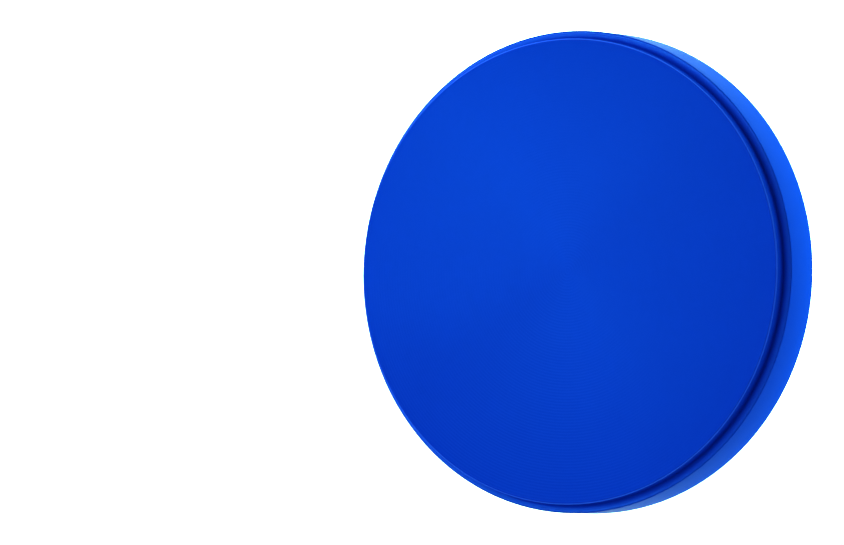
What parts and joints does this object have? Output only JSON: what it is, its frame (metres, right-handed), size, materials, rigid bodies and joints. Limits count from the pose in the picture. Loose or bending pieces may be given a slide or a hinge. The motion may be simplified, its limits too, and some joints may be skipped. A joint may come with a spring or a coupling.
{
  "type": "dental milling disc",
  "caption": "Round blank of hard casting wax for a dental milling machine, with a clamping rim between two flat raised working faces.",
  "frame": {"origin": "centre of the lower working face, which the disc lies on", "axes": "+Z along the turning axis, from the lower working face to the upper one; the disc is round, so +X and +Y are any two directions at right angles"},
  "size_m": [0.0984, 0.0984, 0.016],
  "materials": {
    "blue_wax": "satin"
  },
  "bodies": {
    "root": {"milling_disc": "blue_wax"}
  },
  "joints": []
}
